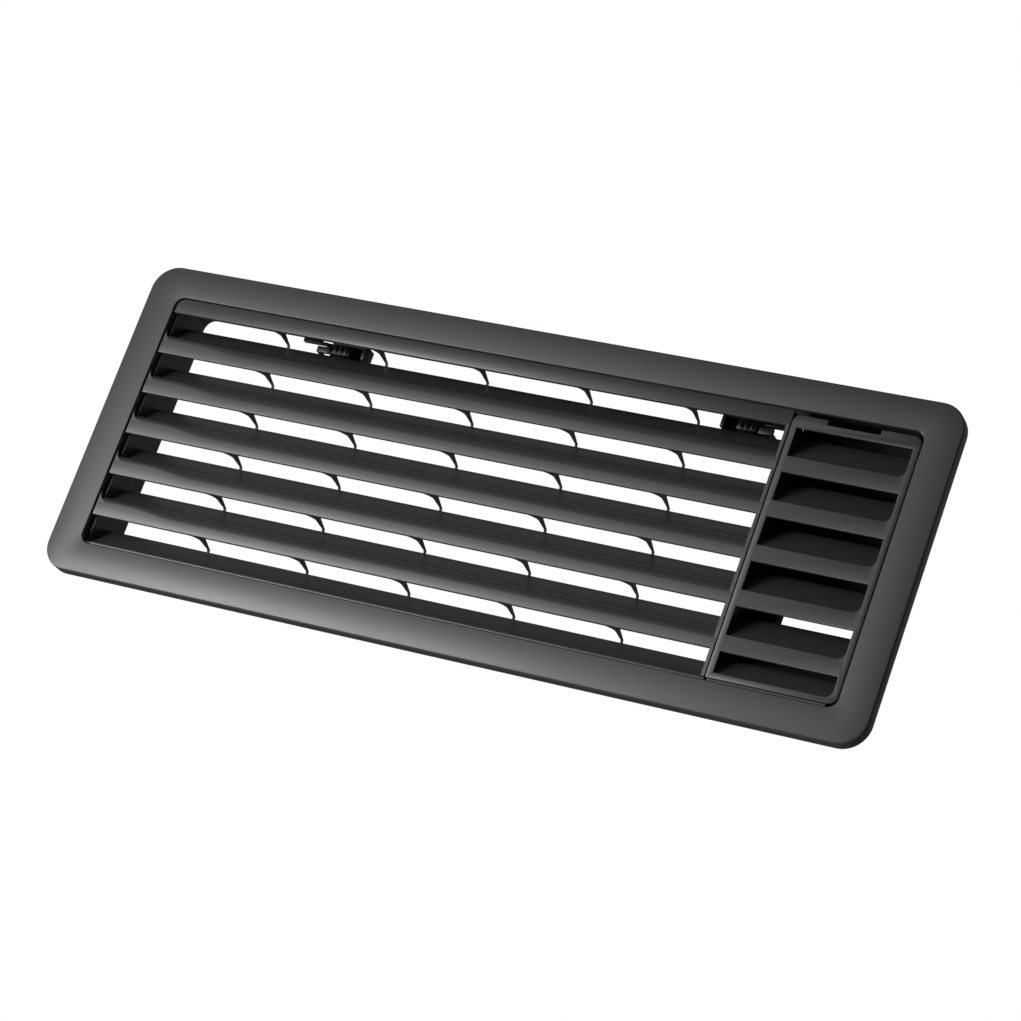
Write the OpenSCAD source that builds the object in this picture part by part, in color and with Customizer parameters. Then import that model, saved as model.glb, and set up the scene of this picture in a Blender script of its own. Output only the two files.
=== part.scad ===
// Louvred outlet grille for a recessed compartment in a vehicle wall.
// X runs along the width, Z is up, and the front faces -Y.
// Y = 0 is the wall's outer surface, where the flange seats.

/* [Mounting frame] */
// Width over the flange
frame_w = 520; // [480:1:560]
// Height over the flange
frame_h = 200; // [198:1:206]
// Corner radius of the flange
frame_corner_r = 16; // [12:1:19]
// Distance from the flange's front face to the wall
flange_depth = 8; // [7:0.5:10]
// Width of the flange at its two ends
flange_side = 20.4; // [20:0.1:24]
// Height of the flange above and below the opening
flange_top = 18.9; // [18.5:0.1:19.5]
// Wall thickness of the mouldings
shell_t = 2.4; // [2:0.1:2.6]
// How far the collar reaches back from the flange's front face
collar_depth = 40; // [40:1:60]

/* [Louvre grille] */
// Width of the flue cover's share of the opening
cover_zone_w = 77.2; // [74:0.1:79]
// Gap between neighbouring pieces
fit_gap = 0.8; // [0.6:0.1:0.9]
// Height of the rail above the first slot
top_rail_h = 9.4; // [9:0.1:10]
// Distance from one louvre to the next
louvre_pitch = 26.8; // [26.4:0.1:26.9]
// Height of a louvre's flat front
louvre_face_h = 5.5; // [5:0.1:6.5]
// Outer radius between the flat front and the slope
louvre_bend_r = 8; // [7:0.1:8.5]
// Depth of a louvre's rear edge behind the flange's front face
louvre_back = 19.5; // [18.5:0.1:19.5]
// Height of a louvre's rear edge above its lower edge
louvre_rise = 24.8; // [24:0.1:25]
// Thickness of a louvre
louvre_t = 2; // [1.6:0.1:2.2]

/* [Catches] */
// Distance of each catch from the middle of the frame
catch_x = 131; // [128:0.5:134]
// Width of a catch's guide
guide_w = 32; // [30:0.5:33]
// Travel of a catch
catch_travel = 7.5; // [6:0.5:7.5]

/* [Flue cover and tray] */
// Height of one pocket in the flue cover
pocket_h = 17; // [15:0.5:17.5]
// Width of the tool notch in the cover's top edge
notch_w = 31; // [20:1:36]
// Width of the flue outlet
outlet_w = 46; // [40:1:50]
// Height of the flue outlet
outlet_h = 23; // [18:1:24]

/* [Hidden] */
$fn = 48;
eps = 0.01;

// Frame
front_y = -flange_depth;
open_w = frame_w - 2 * flange_side;
open_h = frame_h - 2 * flange_top;
open_r = 6;
collar_back_y = front_y + collar_depth;
collar_in_h = open_h + 8.4;
collar_r = 7;
skirt_t = 2.5;
fix_hole_r = 2.2;
fix_hole_y = front_y + 30;
fix_hole_xs = [-210, -90, 30, 150];

// Hinge line that the grille and the cover share
hinge_y = front_y + 3;
hinge_z = -open_h / 2 + 1.1;
bead_r = 1.5;
bead_gap = 0.06;
ledge_back_y = front_y + 6.5;

// Louvre grille
recess = 1;
face_y = front_y + recess;
split_x = open_w / 2 - cover_zone_w + 0.4;
grille_x0 = -open_w / 2 + fit_gap;
grille_x1 = split_x - 0.4;
grille_top_z = open_h / 2 - 0.5;
slot_top_z = grille_top_z - top_rail_h;
slots = 6;
post_t = 2;
end_t = 1.5;
end_recess = 5;
end_back = 38;
end_top_z = 77.2;
end_foot = 0.4;
post_top_z = 80.2;
rib_t = 1.1;
rib_x0 = -166.5;
rib_pitch = 67.1;
ribs = 5;
gusset_r = 8;
gusset_t = 1.2;
corner_fillet = 7;
rail_r = 5.5;

// Catches
guide_y0 = front_y + 18;
guide_y1 = guide_y0 + 10;
guide_step_y = front_y + 21.5;
guide_z0 = 62;
guide_z1 = 78.6;
guide_step_z = 69.9;
guide_wall = 1.6;
guide_notch_w = 8.5;
guide_end_t = 1.9;
guide_notch_z = 75;
guide_cut_w = 4.7;
guide_cut_z = 71.5;
slide_gap = 0.3;
bar_z0 = 73.8;
bar_z1 = 77.2;
bar_reach = 11;
thumb_w = 12;
thumb_z0 = 70.3;
arm_y0 = guide_y0 + 0.2;
arm_y1 = guide_y0 + 3.4;
arm_z0 = 75;
arm_z1 = 76.5;
hook_z = 78.8;
keeper_gap = 0.6;
keeper_w = catch_travel - 2.3;
keeper_z = 78;
keeper_y0 = front_y + 14.6;
keeper_y1 = front_y + 17.4;
stop_z = 77;
stop_y0 = guide_y1 + 1;
stop_t = 2;
stop_w = 21;
stop_dx = 0.5;
shelf_t = 2;
shelf_y0 = front_y + 13;
guide_screw_dx = 11;
guide_screw_y = guide_y0 + 7;
guide_screw_r = 1.3;
guide_screw_head_r = 2.3;

// Foam strips, between the collar and the skirt
strip_w = 9;
strip_end_w = 12;
strip_x = open_w / 2 + shell_t + 1.4;
strip_z = collar_in_h / 2 + shell_t + 0.5;
strip_front_y = front_y + shell_t + 0.1;

// Flue cover
cover_x0 = split_x + 0.3;
cover_x1 = open_w / 2 - fit_gap;
cover_top_z = open_h / 2 - 2.9;
cover_t = 2;
cover_side = 3.7;
cover_r = 5.2;
pocket_top_z = cover_top_z - 7.6;
last_pocket_h = 12.3;
pocket_r = 4.5;
scoop_back = 17;
scoop_rise = 17.4;
notch_h = 3;
notch_x = 199;
cover_wall_t = 1.8;

// Flue tray
tray_front_y = front_y + 19.2;
tray_back_y = front_y + 36;
tray_x0 = split_x + 0.6;
tray_x1 = open_w / 2 - 0.4;
tray_z = collar_in_h / 2 - 0.4;
tray_t = 1.6;
tray_r = 6.8;
outlet_x = 200.5;
outlet_z = -20.5;
outlet_r = 4;
spigot_l = 8;
spigot_t = 1.5;
seal_w = 5;
seal_t = 4;
tray_screw_xs = [181, 221];
tray_screw_y = front_y + 27;
tray_screw_r = 1.7;
tray_screw_head_r = 3.2;

// Rectangle with round corners, centred, from true arcs
module round_rect(w, h, r) {
    square([w - 2 * r, h], center = true);
    square([w, h - 2 * r], center = true);
    for (x = [-1, 1], z = [-1, 1])
        translate([x * (w / 2 - r), z * (h / 2 - r)]) circle(r = r);
}

// Outline in X and Z made solid between two depths
module upright(y0, y1) {
    translate([0, y1, 0]) rotate([90, 0, 0]) linear_extrude(y1 - y0) children();
}

// Section in Y and Z made solid between two places along X
module along_x(x0, x1) {
    translate([x0, 0, 0]) rotate([90, 0, 90]) linear_extrude(x1 - x0) children();
}

// Outline that takes the point off a corner: dx and dz point from the corner into the shape
module corner_cut(x, z, r, dx, dz) {
    translate([x, z]) scale([dx, dz]) difference() {
        translate([-1, -1]) square(r + 1);
        translate([r, r]) circle(r = r);
    }
}

// Block given by its two far corners
module block(a, b) {
    translate(a) cube([for (i = [0:2]) b[i] - a[i]]);
}

// Round bar along X
module bar_x(x0, x1, y, z, r) {
    translate([x0, y, z]) rotate([0, 90, 0]) cylinder(r = r, h = x1 - x0);
}

// Round bar along Z
module bar_z(x, y, z0, z1, r) {
    translate([x, y, z0]) cylinder(r = r, h = z1 - z0);
}

// Lug for a catch's hook, with a stop behind the catch's guide, on the left for side -1
module keeper(side) {
    hook_in = catch_x + guide_w / 2;
    x1 = side * (hook_in - keeper_gap);
    x2 = side * (hook_in - keeper_gap - keeper_w);
    top = collar_in_h / 2 + eps;
    block([min(x1, x2), keeper_y0, keeper_z], [max(x1, x2), keeper_y1, top]);
    block([side * catch_x + side * stop_dx - stop_w / 2, stop_y0, stop_z],
          [side * catch_x + side * stop_dx + stop_w / 2, stop_y0 + stop_t, top]);
}

module mounting_frame() {
    color("#3c3e41") difference() {
        union() {
            difference() {
                upright(front_y, 0) round_rect(frame_w, frame_h, frame_corner_r);
                upright(front_y + shell_t, eps)
                    round_rect(frame_w - 2 * skirt_t, frame_h - 2 * skirt_t, frame_corner_r - skirt_t);
            }
            upright(front_y + eps, collar_back_y)
                round_rect(open_w + 2 * shell_t, collar_in_h + 2 * shell_t, collar_r + shell_t);
        }
        upright(front_y - 1, front_y + shell_t + eps) round_rect(open_w, open_h, open_r);
        difference() {
            upright(front_y + shell_t, collar_back_y + 1) round_rect(open_w, collar_in_h, collar_r);
            block([-open_w / 2, front_y, -collar_in_h / 2 - eps], [open_w / 2, ledge_back_y, -open_h / 2]);
        }
        bar_x(-open_w / 2 + open_r, open_w / 2 - open_r, hinge_y, hinge_z, bead_r + bead_gap);
        for (x = fix_hole_xs)
            bar_z(x, fix_hole_y, -frame_h / 2, frame_h / 2, fix_hole_r);
        for (x = tray_screw_xs)
            bar_z(x, tray_screw_y, -frame_h / 2, frame_h / 2, tray_screw_r + 0.05);
    }
    color("#3c3e41") for (side = [-1, 1]) keeper(side);
}

// Foam strip above or below the collar, inside the skirt
module gasket_level(side) {
    z_in = side * strip_z;
    z_out = side * (strip_z + strip_w);
    color("#1b1b1c") block([-strip_x, strip_front_y, min(z_in, z_out)],
                           [strip_x, 0, max(z_in, z_out)]);
}

// Foam strip at one end of the collar
module gasket_end(side) {
    x_in = side * (strip_x + 0.2);
    x_out = side * (strip_x + 0.2 + strip_end_w);
    reach = frame_h / 2 - frame_corner_r;
    color("#1b1b1c") block([min(x_in, x_out), strip_front_y, -reach], [max(x_in, x_out), 0, reach]);
}

module gasket_top() { gasket_level(1); }
module gasket_bottom() { gasket_level(-1); }
module gasket_left() { gasket_end(-1); }
module gasket_right() { gasket_end(1); }

// Section of one louvre, measured back from the flange's front and up from the louvre's lower edge
bend_centre = recess + louvre_bend_r;
slope = atan2(louvre_rise - louvre_face_h - louvre_bend_r, louvre_back - bend_centre);
tip_drop = [louvre_t * sin(slope), -louvre_t * cos(slope)];

function bend(r, steps) = [for (i = [0:steps]) let (a = 180 - 90 * i / steps)
    [bend_centre + r * cos(a), louvre_face_h + r * sin(a)]];

function inner_foot() = let (top = louvre_face_h + louvre_bend_r - louvre_t,
    start = [bend_centre + tip_drop[0], louvre_face_h + louvre_bend_r + tip_drop[1]],
    back = (start[1] - top) / tan(slope)) [start[0] - back, top];

function slope_points() = [[louvre_back, louvre_rise], [louvre_back, louvre_rise] + tip_drop,
    inner_foot()];

function flip(points) = [for (i = [len(points) - 1:-1:0]) points[i]];

module louvre_section() {
    polygon(concat([[recess + louvre_t, 0], [recess, 0]], bend(louvre_bend_r, 8), slope_points(),
                   flip(bend(louvre_bend_r - louvre_t, 8))));
}

// The lowest louvre has no face of its own: it starts from the bead in the frame's groove
module lowest_section(z0) {
    base = hinge_z - z0;
    start_y = hinge_y - front_y;
    polygon(concat([[start_y, base + 1.2], [bend_centre - 2.4, base + 1.2]],
                   [[bend_centre, louvre_face_h + louvre_bend_r]], slope_points(),
                   [[bend_centre - 0.6, base - 0.3], [start_y, base - 0.3]]));
}

// Thin strut from a louvre's lower edge back to the rear edge of the louvre below
module rib_section(under_rail) {
    low = louvre_pitch;
    root = under_rail ? [[recess + louvre_t - 0.4, low + 6]]
        : [[bend_centre - 0.6, low + louvre_face_h + louvre_bend_r - 1.5], [recess + 1, low + 4]];
    polygon(concat([[recess + 0.4, low + 0.2], [9.5, low - 0.2], [louvre_back - 1.4, low - 1.1],
                    [louvre_back - 0.6, low - 2.7], [louvre_back + 0.7, low - 2.4],
                    [louvre_back + 0.4, low - 0.6], [11, low + 2.6]], root));
}

// Level gusset in the corner between a louvre's back and the left side of a strut
module gusset(x, z) {
    r = gusset_r;
    y0 = face_y + louvre_t - 0.3;
    translate([x, y0, z + 0.2]) linear_extrude(gusset_t) difference() {
        translate([-r, 0]) square(r + 0.2);
        translate([-r, r]) circle(r = r);
    }
}

// End plate at the left, cut short of the opening's round corners so that it clears them as the
// grille tilts
module end_section() {
    foot_z = hinge_z - end_foot;
    polygon([[end_recess, hinge_z + 8], [end_recess, end_top_z], [end_back, end_top_z - 4],
             [end_back, foot_z], [end_recess + 6, foot_z], [end_recess + 3, hinge_z + 2]]);
}

// Post between the grille and the flue cover
module post_section() {
    foot_z = hinge_z - end_foot;
    polygon([[recess, hinge_z + 0.9], [recess, post_top_z - 1.2], [6, post_top_z],
             [end_back, post_top_z - 5.8], [end_back, foot_z], [7, foot_z]]);
}

module louvre_grille() {
    color("#3f4144") {
        // Top rail
        upright(face_y, face_y + louvre_t) difference() {
            translate([grille_x0, slot_top_z]) square([grille_x1 - grille_x0, top_rail_h]);
            corner_cut(grille_x0, grille_top_z, rail_r, 1, -1);
        }
        // Louvres, ribs and the fillet where each front meets the left end
        for (i = [1:slots - 1]) {
            edge_z = slot_top_z - i * louvre_pitch;
            translate([0, front_y, edge_z]) along_x(grille_x0, grille_x1) louvre_section();
            left_fillet(edge_z + louvre_face_h + 3);
        }
        low_z = slot_top_z - slots * louvre_pitch;
        translate([0, front_y, low_z]) along_x(grille_x0 + end_t - 0.2, grille_x1) lowest_section(low_z);
        bar_x(grille_x0 + open_r, grille_x1, hinge_y, hinge_z, bead_r);
        for (i = [1:slots], k = [0:ribs - 1]) {
            x = rib_x0 + k * rib_pitch;
            translate([0, front_y, slot_top_z - i * louvre_pitch])
                along_x(x - rib_t / 2, x + rib_t / 2) rib_section(i == 1);
            gusset(x - rib_t / 2, slot_top_z - (i - 1) * louvre_pitch);
        }
        // End plates
        translate([0, front_y, 0]) {
            along_x(grille_x0, grille_x0 + end_t) end_section();
            along_x(grille_x1 - post_t, grille_x1) post_section();
        }
        // Shelf behind the first louvre for each catch guide
        for (side = [-1, 1]) difference() {
            block([side * catch_x - guide_w / 2, shelf_y0, guide_z0 - shelf_t],
                  [side * catch_x + guide_w / 2, guide_y1, guide_z0]);
            for (k = [-1, 1])
                bar_z(side * catch_x + k * guide_screw_dx, guide_screw_y, guide_z0 - 3, guide_z0 + 1,
                      guide_screw_r);
        }
    }
}

module left_fillet(z) {
    r = corner_fillet;
    upright(face_y, face_y + louvre_t) difference() {
        translate([grille_x0, z - 3]) square([r, r + 3]);
        translate([grille_x0 + r, z + r]) circle(r = r);
    }
}

// Channel that a catch slides in, open to the front, drawn for the left side
module catch_guide() {
    half = guide_w / 2;
    color("#2b2c2e") difference() {
        block([-half, guide_y0, guide_z0], [half, guide_y1, guide_z1]);
        block([-half - 1, guide_y0 - 1, guide_z0 - 1], [half + 1, guide_step_y, guide_step_z]);
        block([-half + guide_end_t, guide_y0 + 2.2, guide_z0 + 4],
              [half - guide_end_t, guide_y1 - guide_wall, guide_z1 - 1.8]);
        block([-half + guide_notch_w, guide_y0 - 1, guide_z0 + 4],
              [half - guide_end_t, guide_y0 + 2.3, guide_z1 - 1.8]);
        block([-half - 1, guide_y0 + 2.2, bar_z0 - slide_gap],
              [half - guide_end_t, guide_y1 - guide_wall, bar_z1 + slide_gap]);
        block([-half - 1, guide_y0 - 1, bar_z0 - slide_gap],
              [-half + guide_notch_w, guide_y1 - guide_wall, guide_z1 + 1]);
        block([-half - 1, guide_y0 - 1, guide_notch_z], [-half + guide_notch_w, guide_y1 + 1, guide_z1 + 1]);
        block([-half - 1, guide_y0 + 2, guide_cut_z], [-half + guide_cut_w, guide_y1 + 1, guide_z1 + 1]);
        for (k = [-1, 1])
            bar_z(k * guide_screw_dx, guide_screw_y, guide_z0 - 1, guide_z0 + 3, guide_screw_r);
    }
}

// Catch with a ribbed thumb block, a bar and an arm with a tall hook, drawn for the left side
module catch_slide() {
    half = guide_w / 2;
    bar_y0 = guide_y0 + 2.6;
    bar_y1 = guide_y1 - guide_wall - slide_gap;
    color("#232426") {
        block([-half + 4, bar_y0, bar_z0], [thumb_w / 2, bar_y1, bar_z1]);
        block([-half - bar_reach, arm_y0, arm_z0], [-half + 6, arm_y1, arm_z1]);
        block([-thumb_w / 2, guide_y0 - 0.2, thumb_z0], [thumb_w / 2, bar_y1, bar_z0 + 1.6]);
        for (k = [-1:1])
            block([k * 3.4 - 0.7, guide_y0 - 1, thumb_z0 + 0.5], [k * 3.4 + 0.7, guide_y0, bar_z0 + 0.8]);
        block([-half - bar_reach, arm_y0, arm_z0], [-half + 0.7, arm_y1, hook_z]);
    }
}

module catch_guide_left() { translate([-catch_x, 0, 0]) catch_guide(); }
module catch_guide_right() { translate([catch_x, 0, 0]) mirror([1, 0, 0]) catch_guide(); }
module catch_slide_left() { translate([-catch_x, 0, 0]) catch_slide(); }
module catch_slide_right() { translate([catch_x, 0, 0]) mirror([1, 0, 0]) catch_slide(); }

// Four small screws, up through the shelves into the two guides
module guide_screws() {
    color("#8a8c8f") for (side = [-1, 1], k = [-1, 1])
        translate([side * catch_x + k * guide_screw_dx, guide_screw_y, guide_z0]) {
            translate([0, 0, -shelf_t - 1.4]) cylinder(r = guide_screw_head_r, h = 1.35);
            translate([0, 0, -shelf_t - 0.3]) cylinder(r = guide_screw_r - 0.05, h = shelf_t + 3);
        }
}

module cover_pocket(top_z, h) {
    x0 = cover_x0 + cover_side;
    x1 = cover_x1 - cover_side;
    r = pocket_r;
    upright(face_y - 1, face_y + cover_t + 1) {
        translate([x0, top_z - h + r]) square([x1 - x0, h - r]);
        translate([x0, top_z - h]) square([x1 - x0 - r, h]);
        translate([x1 - r, top_z - h + r]) circle(r = r);
    }
}

module scoop_section(rise) {
    polygon([[recess + cover_t - 0.4, -0.3], [scoop_back, rise], [scoop_back + 1.2, rise - 1.2],
             [recess + cover_t + 1.2, -1.6], [recess + cover_t - 0.4, -1.6]]);
}

module flue_cover() {
    color("#3a3c3f") {
        difference() {
            upright(face_y, face_y + cover_t) difference() {
                translate([cover_x0, hinge_z + 0.9])
                    square([cover_x1 - cover_x0, cover_top_z - hinge_z - 0.9]);
                corner_cut(cover_x0, cover_top_z, cover_r - 1, 1, -1);
                corner_cut(cover_x1, cover_top_z, cover_r, -1, -1);
                corner_cut(cover_x1, hinge_z + 0.9, cover_r, -1, 1);
            }
            for (i = [0:slots - 2]) cover_pocket(pocket_top_z - i * louvre_pitch, pocket_h);
            cover_pocket(pocket_top_z - (slots - 1) * louvre_pitch, last_pocket_h);
            block([notch_x - notch_w / 2, face_y - 1, cover_top_z - notch_h],
                  [notch_x + notch_w / 2, face_y + cover_t + 1, cover_top_z + 1]);
        }
        for (i = [0:slots - 1]) {
            h = i < slots - 1 ? pocket_h : last_pocket_h;
            translate([0, front_y, pocket_top_z - i * louvre_pitch - h])
                along_x(cover_x0 + 1, cover_x1 - 1) scoop_section(scoop_rise);
        }
        for (x = [cover_x0, cover_x1 - cover_wall_t])
            block([x, face_y + 0.5, hinge_z + cover_r],
                  [x + cover_wall_t, front_y + scoop_back, cover_top_z - cover_r]);
        bar_x(cover_x0 + 1, cover_x1 - open_r, hinge_y, hinge_z, bead_r);
    }
}

// The tray's outline, its right-hand corners rounded to fit the collar's
module tray_outline(inset) {
    r = tray_r - inset;
    intersection() {
        translate([(tray_x0 + tray_x1) / 2 - tray_r, 0])
            round_rect(tray_x1 - tray_x0 - 2 * inset + 2 * tray_r, 2 * (tray_z - inset), r);
        translate([tray_x0 + inset, -tray_z]) square([tray_x1 - tray_x0, 2 * tray_z]);
    }
}

module flue_tray() {
    color("#161617") difference() {
        union() {
            difference() {
                upright(tray_front_y, tray_back_y) tray_outline(0);
                upright(tray_front_y - 1, tray_back_y - tray_t) tray_outline(tray_t);
            }
            translate([outlet_x, 0, outlet_z]) upright(tray_back_y - eps, tray_back_y + spigot_l)
                round_rect(outlet_w + 2 * spigot_t, outlet_h + 2 * spigot_t, outlet_r + spigot_t);
        }
        translate([outlet_x, 0, outlet_z]) upright(tray_front_y, tray_back_y + spigot_l + 1)
            round_rect(outlet_w, outlet_h, outlet_r);
        for (x = tray_screw_xs)
            bar_z(x, tray_screw_y, -frame_h / 2, frame_h / 2, tray_screw_r + 0.05);
    }
}

// Soft ring that closes the joint between the spigot and the flue
module flue_seal() {
    fit = 2 * spigot_t + 0.2;
    color("#26262a") translate([outlet_x, 0, outlet_z]) upright(tray_back_y + 0.1, tray_back_y + 0.1 + seal_t)
        difference() {
            round_rect(outlet_w + fit + 2 * seal_w, outlet_h + fit + 2 * seal_w, outlet_r + fit / 2 + seal_w);
            round_rect(outlet_w + fit, outlet_h + fit, outlet_r + fit / 2);
        }
}

// Four screws from inside the tray, through its top and bottom walls and the collar
module tray_screws() {
    color("#8a8c8f") for (x = tray_screw_xs, side = [-1, 1])
        translate([x, tray_screw_y, 0]) mirror([0, 0, side > 0 ? 0 : 1]) {
            difference() {
                translate([0, 0, tray_z - tray_t - 2.1]) cylinder(r = tray_screw_head_r, h = 2);
                for (turn = [0, 90])
                    rotate(turn) translate([-1.8, -0.4, tray_z - tray_t - 3]) cube([3.6, 0.8, 1.8]);
            }
            translate([0, 0, tray_z - tray_t - 0.2]) cylinder(r = tray_screw_r, h = 8);
        }
}

mounting_frame();
gasket_top();
gasket_bottom();
gasket_left();
gasket_right();
louvre_grille();
catch_guide_left();
catch_guide_right();
guide_screws();
catch_slide_left();
catch_slide_right();
flue_cover();
flue_tray();
flue_seal();
tray_screws();
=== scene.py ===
import math

import bmesh
import bpy
from mathutils import Matrix, Vector


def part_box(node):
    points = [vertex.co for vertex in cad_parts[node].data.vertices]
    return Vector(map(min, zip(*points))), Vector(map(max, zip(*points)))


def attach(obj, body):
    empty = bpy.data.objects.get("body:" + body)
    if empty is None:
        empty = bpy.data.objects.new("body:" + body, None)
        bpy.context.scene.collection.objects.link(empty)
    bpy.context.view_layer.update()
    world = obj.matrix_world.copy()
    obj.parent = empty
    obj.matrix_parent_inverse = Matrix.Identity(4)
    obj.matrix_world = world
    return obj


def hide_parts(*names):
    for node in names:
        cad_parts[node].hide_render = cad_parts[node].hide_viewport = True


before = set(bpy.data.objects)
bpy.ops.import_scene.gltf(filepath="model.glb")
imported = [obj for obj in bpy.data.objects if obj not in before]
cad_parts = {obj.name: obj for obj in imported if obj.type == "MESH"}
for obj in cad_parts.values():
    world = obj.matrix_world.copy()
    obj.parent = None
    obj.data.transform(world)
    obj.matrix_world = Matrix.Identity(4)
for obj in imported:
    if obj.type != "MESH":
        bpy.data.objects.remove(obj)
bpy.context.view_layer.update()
mm = 0.001  # every size below is in millimetres


def boxOf(node):
    low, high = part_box(node)
    return [c / mm for c in low], [c / mm for c in high]


frameLow, frameHigh = boxOf("mounting_frame")
grilleLow, grilleHigh = boxOf("louvre_grille")
coverLow, coverHigh = boxOf("flue_cover")
guideLow, guideHigh = boxOf("catch_guide_right")
catchX = (guideLow[0] + guideHigh[0]) / 2
front = frameLow[1]  # the flange's front face
print("frame loaded:", len(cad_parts), "nodes")

# Mesh helpers


def arcAngles(start, end, steps):
    return [start + (end - start) * i / steps for i in range(steps + 1)]


def roundedOutline(halfWide, halfHigh, radius, steps=10):
    # (x, z) points anticlockwise from the right-hand side's foot of the upper corner
    points = []
    for turn, (sx, sz) in enumerate([(1, 1), (-1, 1), (-1, -1), (1, -1)]):
        for a in arcAngles(turn * math.pi / 2, (turn + 1) * math.pi / 2, steps):
            points.append((sx * (halfWide - radius) + radius * math.cos(a),
                           sz * (halfHigh - radius) + radius * math.sin(a)))
    return points


def eased(points, radius, steps=4):
    # the same outline with each corner rounded, less where its sides are short
    result = []
    count = len(points)
    for i, corner in enumerate(points):
        corner = Vector(corner)
        toLast = Vector(points[i - 1]) - corner
        toNext = Vector(points[(i + 1) % count]) - corner
        half = toLast.angle(toNext) / 2
        if half > math.radians(82):
            result.append(tuple(corner))
            continue
        reach = min(radius / math.tan(half), 0.45 * toLast.length, 0.45 * toNext.length)
        bisector = (toLast.normalized() + toNext.normalized()).normalized()
        centre = corner + bisector * reach / math.cos(half)
        begin = corner + toLast.normalized() * reach - centre
        finish = corner + toNext.normalized() * reach - centre
        sweep = begin.angle_signed(finish)
        for k in range(steps + 1):
            a = -sweep * k / steps
            result.append((centre.x + begin.x * math.cos(a) - begin.y * math.sin(a),
                           centre.y + begin.x * math.sin(a) + begin.y * math.cos(a)))
    return result


def addLoft(bm, rings, closed=False):
    # quads between rings of equal length, with the two ends filled unless the rings close on themselves
    made = [[bm.verts.new(p) for p in ring] for ring in rings]
    pairs = list(zip(made, made[1:] + made[:1])) if closed else list(zip(made, made[1:]))
    for one, two in pairs:
        for k in range(len(one)):
            after = (k + 1) % len(one)
            bm.faces.new((one[k], one[after], two[after], two[k]))
    if not closed:
        bm.faces.new(made[0])
        bm.faces.new(made[-1])


def addBarX(bm, section, x0, x1):
    addLoft(bm, [[(x, y, z) for y, z in section] for x in (x0, x1)])


def addBlock(bm, low, high, edge=0.3):
    # block with eased edges all round
    centre = [(a + b) / 2 for a, b in zip(low, high)]
    size = [abs(b - a) for a, b in zip(low, high)]
    made = bmesh.ops.create_cube(bm, size=1, matrix=Matrix.Translation(centre) @ Matrix.Diagonal((*size, 1)))
    edges = list({e for v in made["verts"] for e in v.link_edges})
    bmesh.ops.bevel(bm, geom=edges, offset=min(edge, 0.3 * min(size)), segments=2, affect="EDGES",
                    profile=0.5)


def addTurned(bm, profile, place, steps=32):
    # (radius, height) points turned about a line along Z
    rings = [[(place[0] + r * math.cos(a), place[1] + r * math.sin(a), place[2] + h)
              for a in arcAngles(0, 2 * math.pi, steps)[:-1]] for r, h in profile]
    addLoft(bm, rings)


def pieceFrom(bm, name, smoothAngle=38, scale=mm):
    bmesh.ops.remove_doubles(bm, verts=bm.verts, dist=0.0005 * mm / scale)
    bmesh.ops.dissolve_degenerate(bm, edges=bm.edges, dist=0.0005 * mm / scale)
    bmesh.ops.recalc_face_normals(bm, faces=bm.faces)
    bmesh.ops.scale(bm, vec=(scale, scale, scale), verts=bm.verts)
    mesh = bpy.data.meshes.new(name)
    bm.to_mesh(mesh)
    bm.free()
    piece = bpy.data.objects.new(name, mesh)
    bpy.context.scene.collection.objects.link(piece)
    smoothed(piece, smoothAngle)
    return piece


def smoothed(piece, angle=38):
    piece.data.shade_smooth()
    piece.data.set_sharp_from_angle(angle=math.radians(angle))


def settled(piece):
    # the modifiers' result as the piece's own mesh
    bpy.context.view_layer.update()
    depsgraph = bpy.context.evaluated_depsgraph_get()
    mesh = bpy.data.meshes.new_from_object(piece.evaluated_get(depsgraph))
    piece.modifiers.clear()
    piece.data = mesh
    return piece


def joined(name, pieces):
    bm = bmesh.new()
    for piece in pieces:
        bm.from_mesh(piece.data)
        bpy.data.objects.remove(piece)
    return pieceFrom(bm, name, scale=1)


def cutBy(piece, cutter):
    modifier = piece.modifiers.new("cut", "BOOLEAN")
    modifier.operation = "DIFFERENCE"
    modifier.solver = "EXACT"
    modifier.use_self = True
    modifier.object = cutter
    settled(piece)
    bpy.data.objects.remove(cutter)
    smoothed(piece)
    return piece


def softened(node, name, radius, segments=2):
    # a copy of a CAD node with its edges rounded
    bm = bmesh.new()
    bm.from_mesh(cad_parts[node].data)
    bmesh.ops.remove_doubles(bm, verts=bm.verts, dist=1e-6)
    bmesh.ops.dissolve_limit(bm, angle_limit=math.radians(1), verts=bm.verts, edges=bm.edges)
    piece = pieceFrom(bm, name, scale=1)
    modifier = piece.modifiers.new("round", "BEVEL")
    modifier.width = radius * mm
    modifier.segments = segments
    modifier.limit_method = "ANGLE"
    modifier.angle_limit = math.radians(40)
    settled(piece)
    smoothed(piece)
    return piece


def finished(piece, body, slot, material, *nodes):
    piece.data.materials.clear()
    piece.data.materials.append(material)
    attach(piece, body)
    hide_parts(*nodes)


# Shader groups


def shaderGroup(name, inputs, outputs):
    group = bpy.data.node_groups.new(name, "ShaderNodeTree")
    for label, kind, value in inputs:
        socket = group.interface.new_socket(name=label, in_out="INPUT", socket_type=kind)
        socket.default_value = value
    for label, kind in outputs:
        group.interface.new_socket(name=label, in_out="OUTPUT", socket_type=kind)
    return group, group.nodes.new("NodeGroupInput"), group.nodes.new("NodeGroupOutput")


def newNode(tree, kind, settings=None, **values):
    node = tree.nodes.new(kind)
    for key, value in (settings or {}).items():
        setattr(node, key, value)
    for key, value in values.items():
        node.inputs[key.replace("_", " ")].default_value = value
    return node


def mathNode(tree, operation, first, second):
    node = newNode(tree, "ShaderNodeMath", {"operation": operation})
    for socket, value in zip(node.inputs, (first, second)):
        if hasattr(value, "links"):
            tree.links.new(value, socket)
        else:
            socket.default_value = value
    return node.outputs[0]


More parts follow.
